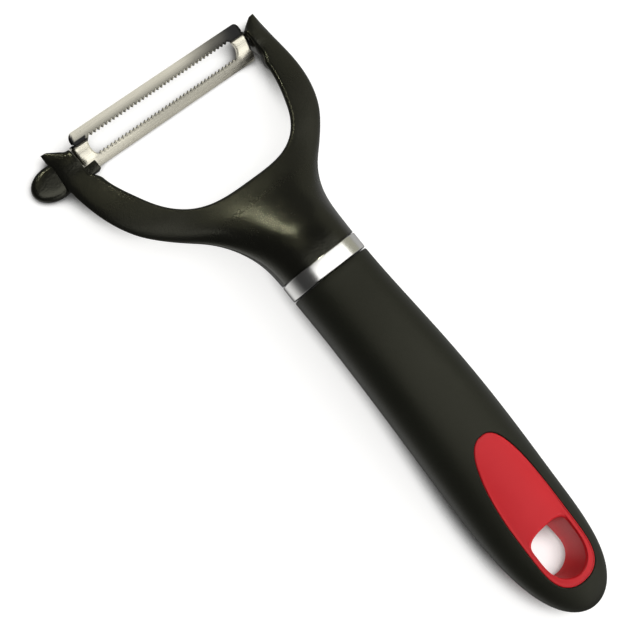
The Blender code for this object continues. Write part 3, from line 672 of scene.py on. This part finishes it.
def build_blade():
    rear = [-6.0, -5.92, -5.75, -5.5, -5.2, -4.85, -4.45, -4.05, -3.7, -3.4, -3.15, -2.95]
    inner_rows = [-2.5, -2.2, -1.85, -1.4, -0.9, -0.45, 0.0, 0.45, 0.9, 1.3, 1.55, 1.75, 1.95, 2.15, 2.35, 2.55]
    rows = rear + [-SLOT_HALF] + inner_rows + [SLOT_HALF] + [-y for y in reversed(rear)]
    low_t, high_t = rows.index(-SLOT_HALF), rows.index(SLOT_HALF)
    n_cols = int(ROW_END / (TOOTH_PITCH / 8))
    toothed = [i * TOOTH_PITCH / 8 for i in range(-n_cols, n_cols + 1)]
    last = toothed[-1]
    flat_cols = [0.0, 0.04, 0.09, 0.16, 0.25, 0.36, 0.5, 0.62, 0.74, 0.84, 0.92, 0.97, 1.0]
    bend_cols, tab_cols = 8, 9
    bend_r = 0.85
    end_cols = len(flat_cols) + bend_cols + tab_cols
    top_pts, low_pts = {}, {}

    def place(key, x, y, z, grind=0.0):
        top_pts[key] = (x, y, z - grind)
        low_pts[key] = (x, y, z)

    cols = len(toothed) + 2 * end_cols
    for c in range(cols):
        k = c - end_cols
        for j, y in enumerate(rows):
            slot_row = low_t <= j <= high_t
            if 0 <= k < len(toothed):
                if low_t < j < high_t:
                    continue
                x = toothed[k]
                edge = tooth(x)
                sign = -1 if y < 0 else 1
                over = (abs(y) - SLOT_HALF) / (BLADE_HALF - SLOT_HALF)
                # rows near the slot follow the teeth, rows near the long edge don't
                yy = sign * (edge + (BLADE_HALF - edge) * over)
                d = abs(yy) - edge
                grind = 0.12 * max(0.0, 1 - d / 0.5) ** 1.2
                place((c, j), x, yy + BLADE_OFFSET, blade_height(x, yy), grind)
                continue
            side = -1 if k < 0 else 1
            step = (-k if k < 0 else k - len(toothed) + 1) - 1
            x0 = slot_end(y) if slot_row else last + 0.2 * min(1.0, (abs(y) - SLOT_HALF) / 0.4) + 0.03
            if step < len(flat_cols):
                x1 = (BLADE_END - bend_r) if slot_row else end_of_row(y)
                if not slot_row:
                    # ease the last column out to the row's own end
                    blend = smooth(SLOT_HALF, SLOT_HALF + 0.7, abs(y))
                    x1 = (BLADE_END - bend_r * (1 - blend)) * (1 - blend) + x1 * blend
                x = x0 + (x1 - x0) * flat_cols[step]
                d = x - x0 if slot_row else 9.0
                grind = 0.12 * max(0.0, 1 - d / 0.5) ** 1.2
                if not slot_row:
                    edge_d = abs(y) - SLOT_HALF
                    near = max(0.0, 1 - (x - last) / 1.0)
                    grind = 0.12 * max(0.0, 1 - edge_d / 0.5) ** 1.2 * near
                place((c, j), side * x, y + BLADE_OFFSET, blade_height(x, y), grind)
            elif slot_row:
                h = blade_height(BLADE_END - bend_r, y)
                s = step - len(flat_cols) + 1
                if s <= bend_cols:
                    a = math.pi / 2 * s / bend_cols
                    x, z = BLADE_END - bend_r + bend_r * math.sin(a), h - bend_r * (1 - math.cos(a))
                    off = BLADE_OFFSET
                else:
                    f = (s - bend_cols) / tab_cols
                    foot = -math.sqrt(max(0.0, TAB_R**2 - min(abs(y), TAB_R) ** 2))
                    x, z = BLADE_END, (h - bend_r) * (1 - f) + foot * f
                    off = BLADE_OFFSET * (1 - f)
                place((c, j), side * x, y + off, z)
    keys = sorted(top_pts)
    quads = []
    for c in range(cols - 1):
        for j in range(len(rows) - 1):
            quad = ((c, j), (c + 1, j), (c + 1, j + 1), (c, j + 1))
            if low_t <= j < high_t and end_cols - 1 <= c <= end_cols + len(toothed) - 1:
                continue
            if all(q in top_pts for q in quad):
                quads.append(quad)
    index = {key: i for i, key in enumerate(keys)}
    base = np.array([low_pts[key] for key in keys])
    normal = np.zeros_like(base)
    for q in quads:
        a, b, c_, d = (base[index[key]] for key in q)
        n = np.cross(c_ - a, d - b)
        for key in q:
            normal[index[key]] += n
    normal /= np.maximum(np.linalg.norm(normal, axis=1, keepdims=True), 1e-12)
    if normal[:, 2].sum() < 0:
        normal = -normal
    under = base - normal * SHEET
    used = sorted({index[key] for q in quads for key in q})
    verts = [tuple(top_pts[key]) for key in keys] + [tuple(p) for p in under]
    n = len(keys)
    faces = [tuple(index[key] for key in q) for q in quads]
    faces += [tuple(n + index[key] for key in reversed(q)) for q in quads]
    edges = {}
    for q in quads:
        ids = [index[key] for key in q]
        for a, b in zip(ids, ids[1:] + ids[:1]):
            edges[(a, b)] = edges.get((a, b), 0) + 1
    for a, b in edges:
        if (b, a) not in edges:
            faces.append((b, a, n + a, n + b))
    place_blade = TO_WORLD @ Matrix.Translation((0, PIVOT[0] * MM, PIVOT[1] * MM)) @ Matrix.Rotation(PITCH, 4, "X")
    ob = mesh_object("slotted_blade", verts, faces, place_blade)
    join_cut(ob, ("DIFFERENCE", rod("tab_left", PIVOT[0], PIVOT[1], -28.3, -32, PIN_HOLE_R)),
             ("DIFFERENCE", rod("tab_right", PIVOT[0], PIVOT[1], 28.3, 32, PIN_HOLE_R)))
    back = place_blade.inverted()
    # painted dark reflection and shade on the blade, per vertex
    painted_reflection_shade = ob.data.attributes.new("painted_reflection_shade", "FLOAT", "POINT")
    for v in ob.data.vertices:
        p = back @ v.co / MM
        painted_reflection_shade.data[v.index].value = painted_reflection_shade_at(p.x, p.y - BLADE_OFFSET)
    return finish_mesh(ob, STEEL, 30)


def build_pin(name, side):
    inner, shank, end = 28.45, 29.15, 34.5
    profile = [(0.0, end), (0.55, end), (0.75, end - 0.08), (PIN_R, end - 0.25), (PIN_R, shank + 0.05), (0.9, shank),
               (1.18, shank), (1.25, shank - 0.08), (1.25, inner + 0.35), (1.15, inner + 0.16), (0.9, inner + 0.05),
               (0.5, inner), (0.0, inner)]
    n = 64
    rings = [[(side * h, PIVOT[0] + max(r, 0.001) * math.cos(2 * math.pi * i / n),
               PIVOT[1] + max(r, 0.001) * math.sin(2 * math.pi * i / n)) for i in range(n)] for r, h in profile]
    return finish_mesh(mesh_object(name, *tube_of_rings(rings)), PIN, 50)


# ---------------------------------------------------------------- collar, grip, insert
def build_collar():
    n, c, rings = 256, 0.32, []
    for i in range(7):
        a = math.pi / 2 * i / 6
        rings.append((c * (1 - math.sin(a)), COLLAR_REAR + c * (1 - math.cos(a))))
    for i in range(7):
        a = math.pi / 2 * i / 6
        rings.append((c * (1 - math.cos(a)), COLLAR_FRONT - c * (1 - math.sin(a))))
    rings += [(COLLAR_WALL, COLLAR_FRONT), (COLLAR_WALL, COLLAR_REAR)]
    out = [section(COLLAR_A - d, COLLAR_B - d, y, n=n) for d, y in rings]
    return finish_mesh(mesh_object("polished_collar", *tube_of_rings(out, closed=True)), BAND, 40)


def handle_rings(inset, y_first, y_last, stations, n, seam=0.0):
    rings = []
    for i in range(stations):
        k = i / (stations - 1)
        y = y_first + (y_last - y_first) * math.sin(math.pi / 2 * k)
        grow = y - inset * max(0.0, (HANDLE_BELLY_Y - y) / (HANDLE_BELLY_Y - HANDLE_TAIL))
        rings.append(section(max(handle_a(grow) - inset, 0.25), max(handle_b(grow) - inset, 0.2), y, handle_z(y), n))
    return rings


def outline(mid_y, a, up, down, grow, powers, n):
    (pu, qu), (pd, qd) = powers
    pts = []
    for i in range(n):
        t = 2 * math.pi * i / n
        c, s = math.cos(t), math.sin(t)
        p, q, h = (pu, qu, up) if s >= 0 else (pd, qd, down)
        pts.append(((a + grow) * power(c, 2 / q), mid_y + (h + grow) * power(s, 2 / p)))
    return pts


def insert_outline(grow=0.0, n=48):
    return outline(INSERT_MID_Y, INSERT_A, INSERT_UP, INSERT_DOWN, grow, ((2.4, 2.5), (5.0, 2.2)), n)


def hole_outline(grow=0.0, n=48, down=HOLE_DOWN):
    return outline(HOLE_MID_Y, HOLE_A, HOLE_UP, down, grow, ((4.5, 2.6), (2.8, 1.9)), n)


def lift(plan, drop, top=True):
    if top:
        return [(x, y, handle_top(x, y) - drop) for x, y in plan]
    return [(x, y, handle_bottom(x, y) + drop) for x, y in plan]


def build_grip():
    n = 192
    front = []
    for i in range(6):
        a = math.pi / 2 * i / 6
        front.append((0.5 * (1 - math.sin(a)), -0.15 - 0.5 * (1 - math.cos(a))))
    rings = [section(handle_a(0) - d, handle_b(0) - d, y, 0.0, n) for d, y in front]
    rings += handle_rings(0.0, -0.65, HANDLE_TAIL + 0.004, 150, n)
    ob = mesh_object("soft_grip", *tube_of_rings(rings))
    cavity = mesh_object("cavity", *tube_of_rings(handle_rings(GRIP_WALL, 2.0, -105.5, 60, 96)))
    # opening for the insert, with a rounded lip where the skin turns in
    m = 192
    lip = [(1.30, -1.2), (0.42, -0.1), (0.30, 0.01), (0.19, 0.06), (0.11, 0.13), (0.06, 0.22), (0.04, 0.34)]
    pocket = [[(x, y, 20.0) for x, y in insert_outline(1.3, m)]]
    pocket += [lift(insert_outline(g, m), d) for g, d in lip]
    pocket += [lift(insert_outline(0.30, m), 0.8), lift(insert_outline(0.30, m), PLATE_T + 0.3),
               lift(hole_outline(TUBE_WALL + 0.3, m), PLATE_T + 0.3),
               lift(hole_outline(TUBE_WALL + 0.12, m), 0.9, False), lift(hole_outline(TUBE_WALL + 0.12, m), 0.35, False),
               lift(hole_outline(TUBE_WALL + 0.22, m), 0.12, False), lift(hole_outline(TUBE_WALL + 0.42, m), 0.0, False),
               [(x, y, -20.0) for x, y in hole_outline(TUBE_WALL + 0.5, m)]]
    join_cut(ob, ("DIFFERENCE", cavity), ("DIFFERENCE", mesh_object("pocket", *tube_of_rings(pocket))),
             ("DIFFERENCE", box("floor_cut", (-200, -200, -50), (200, 200, 0), Matrix.Identity(4))))
    return finish_mesh(ob, SOFT, 40)


def build_insert():
    n = 240
    rim, hole, tube = insert_outline(-0.02, n), hole_outline(0.0, n), hole_outline(TUBE_WALL, n)

    def between(r):
        return [(h[0] + (o[0] - h[0]) * r, h[1] + (o[1] - h[1]) * r) for h, o in zip(hole, rim)]

    def inset(plan_grow, drop):
        return lift(insert_outline(plan_grow, n), drop)

    rings = [inset(-0.02, 0.75), inset(-0.02, 0.45), inset(-0.07, 0.30), inset(-0.18, 0.20), inset(-0.34, 0.15)]
    for r, drop in ((0.955, 0.14), (0.93, 0.16), (0.89, 0.22), (0.83, 0.29), (0.75, 0.36), (0.66, 0.41), (0.56, 0.45),
                    (0.46, 0.47), (0.37, 0.48), (0.29, 0.49), (0.22, 0.50), (0.16, 0.52)):
        rings.append(lift(between(r), drop))
    # soft lip into the hole
    for i in range(9):
        a = math.pi / 2 * i / 8
        rings.append([(x, y, handle_top(x, y) - 0.55 - 1.0 * (1 - math.cos(a)))
                      for x, y in hole_outline(1.0 * (1 - math.sin(a)), n)])
    # the rear wall leans in towards the underside
    wall_top = rings[-1]
    for f in (0.25, 0.5, 0.75):
        plan = hole_outline(0.0, n, HOLE_DOWN + (HOLE_LOW_DOWN - HOLE_DOWN) * f)
        rings.append([(x, y, t[2] * (1 - f) + (handle_bottom(x, y) + 0.9) * f) for (x, y), t in zip(plan, wall_top)])
    for i in range(7):
        a = math.pi / 2 * i / 6
        rings.append(lift(hole_outline(0.5 * (1 - math.cos(a)), n, HOLE_LOW_DOWN), 0.9 - 0.5 * math.sin(a), False))
    rings += [lift(hole_outline(TUBE_WALL - 0.2, n), 0.38, False), lift(tube, 0.55, False)]
    rings += [lift(tube, PLATE_T), lift(insert_outline(-0.02, n), PLATE_T)]
    return finish_mesh(mesh_object("red_hang_insert", *tube_of_rings(rings, closed=True)), RED, 42)


def ride_and_replace(ob, body, node):
    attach(ob, body)
    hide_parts(node)


ride_and_replace(build_yoke(), "handle", "head_yoke")
ride_and_replace(build_blade(), "blade", "blade")
ride_and_replace(build_pin("swivel_pin_left", -1), "handle", "pivot_pin_left")
ride_and_replace(build_pin("swivel_pin_right", 1), "handle", "pivot_pin_right")
ride_and_replace(build_collar(), "handle", "collar")
ride_and_replace(build_grip(), "handle", "handle_grip")
ride_and_replace(build_insert(), "handle", "hang_insert")
for node, material in (("handle_core", CORE), ("tang_pin", PIN)):
    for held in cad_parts[node].material_slots:
        held.material = material
bpy.data.collections.remove(scratch)


# ---------------------------------------------------------------- floor, light, camera
def build_floor():
    bm = bmesh.new()
    bmesh.ops.create_grid(bm, x_segments=1, y_segments=1, size=2.5)
    mesh = bpy.data.meshes.new("studio_floor")
    bm.to_mesh(mesh)
    bm.free()
    floor = bpy.data.objects.new("studio_floor", mesh)
    bpy.context.scene.collection.objects.link(floor)
    floor.location.z = -0.00002
    m = Nodes("studio_floor", (0.45, 0.45, 0.445), 0.7, specular=0.1, Emission_Color=(1.0, 0.995, 0.985, 1.0),
              Emission_Strength=0.8)
    m.link(m.mix(m.noise(900, 3), (0.445, 0.445, 0.44), (0.455, 0.455, 0.45)), m.bsdf.inputs["Base Color"])
    # the floor glows and lights the peeler from below; the glow is cut back near the peeler by ambient occlusion, a
    # painted contact shadow
    near = m.tree.nodes.new("ShaderNodeAmbientOcclusion")
    near.samples = 16
    near.inputs["Distance"].default_value = 0.0075
    m.link(m.ramp(near.outputs["AO"], 0.32, 0.80, 0.0, 0.8), m.bsdf.inputs["Emission Strength"])
    floor.visible_glossy = False
    mesh.materials.append(m.mat)


def card(name, towards, distance, size, radiance, colour=(1, 1, 1), across=None):
    """Soft box of the brightness given, that faces the peeler from the direction given. Its first side lies level,
    or along across."""
    light = bpy.data.lights.new(name, "AREA")
    light.shape = "RECTANGLE"
    light.size, light.size_y = size
    light.energy = radiance * math.pi * size[0] * size[1]
    light.color = colour
    ob = bpy.data.objects.new(name, light)
    bpy.context.scene.collection.objects.link(ob)
    d = Vector(towards).normalized()
    side = Vector(across) if across else Vector((0, 0, 1)).cross(d)
    side = (side - d * side.dot(d)).normalized()
    turn = Matrix((side, d.cross(side), d)).transposed().to_4x4()
    ob.matrix_world = Matrix.Translation(d * distance) @ turn
    return ob


def build_light():
    world = bpy.data.worlds.new("studio")
    bpy.context.scene.world = world
    world.use_nodes = True
    tree = world.node_tree
    sky = tree.nodes["Background"]
    sky.inputs["Color"].default_value = (1.0, 1.0, 1.0, 1)
    # dim room above the horizon, and below it the light that comes back from the floor
    around = tree.nodes.new("ShaderNodeTexCoord")
    split = tree.nodes.new("ShaderNodeSeparateXYZ")
    tree.links.new(around.outputs["Generated"], split.inputs["Vector"])

    def ramp(axis, low, high, a, b):
        m = tree.nodes.new("ShaderNodeMapRange")
        m.interpolation_type = "SMOOTHSTEP"
        for key, value in (("From Min", low), ("From Max", high), ("To Min", a), ("To Max", b)):
            m.inputs[key].default_value = value
        tree.links.new(split.outputs[axis], m.inputs["Value"])
        return m.outputs["Result"]

    def both(op, a, b):
        m = tree.nodes.new("ShaderNodeMath")
        m.operation = op
        tree.links.new(a, m.inputs[0])
        tree.links.new(b, m.inputs[1])
        return m.outputs[0]

    left = both("MULTIPLY", ramp("X", -0.45, -0.10, 1.0, 0.0), ramp("Z", -0.97, -0.10, 1.0, 0.0))
    below = both("MULTIPLY", ramp("Z", -0.04, 0.02, 1.0, 0.0), both("ADD", left, ramp("X", 0.42, 0.95, 0.13, 0.6)))
    tree.links.new(both("ADD", below, ramp("Z", -0.04, 0.02, 0.0, 0.05)), sky.inputs["Strength"])
    warm = (1.0, 0.99, 0.78)
    card("ceiling", (0.22, -0.16, 1.0), 1.3, (2.3, 0.8), 2.3, across=(1, 0, 0))
    card("right_wall", (1.0, 0.0, 0.4), 1.6, (2.4, 1.2), 0.42, warm)
    card("near_wall", (0.45, -1.0, 0.4), 1.6, (1.8, 1.2), 1.0)
    card("far_wall", (0.45, 1.0, 0.4), 1.6, (1.8, 1.2), 0.12, warm)
    card("key", (0.373, -0.667, 0.646), 1.25, (0.6, 0.5), 1.6)
    lamp = card("lamp", (0.12, 0.775, 0.62), 1.28, (0.08, 0.06), 210, warm, across=(1, 0, 0))
    lamp.visible_diffuse = False
    fill = card("far_fill", (-0.08, 0.5, 0.86), 1.28, (0.62, 0.36), 0.7, warm, across=(1, 0, 0))
    fill.visible_diffuse = False


def build_camera():
    right = Vector((0.7277585748861831, -0.6244504525025345, 0.283600227519323))
    down = Vector((-0.5756243371940606, -0.7809532491106642, -0.24242245179313623))
    ahead = Vector((0.3728593288487366, 0.01317782504349213, -0.9277943014578138))
    place = Matrix((right, -down, -ahead)).transposed().to_4x4()
    place.translation = Vector((-157.90827864540813, -12.899249279695276, 367.4471933029054)) * MM
    data = bpy.data.cameras.new("camera")
    data.sensor_width = 36.0
    data.lens = 1511.1333121262178 * 36.0 / 640.0
    data.clip_start, data.clip_end = 0.02, 20
    data.dof.use_dof = False
    camera = bpy.data.objects.new("camera", data)
    bpy.context.scene.collection.objects.link(camera)
    camera.matrix_world = TO_WORLD @ place
    bpy.context.scene.camera = camera


build_floor()
build_light()
build_camera()
bpy.context.scene.view_settings.view_transform = "Standard"

bpy.context.view_layer.update()
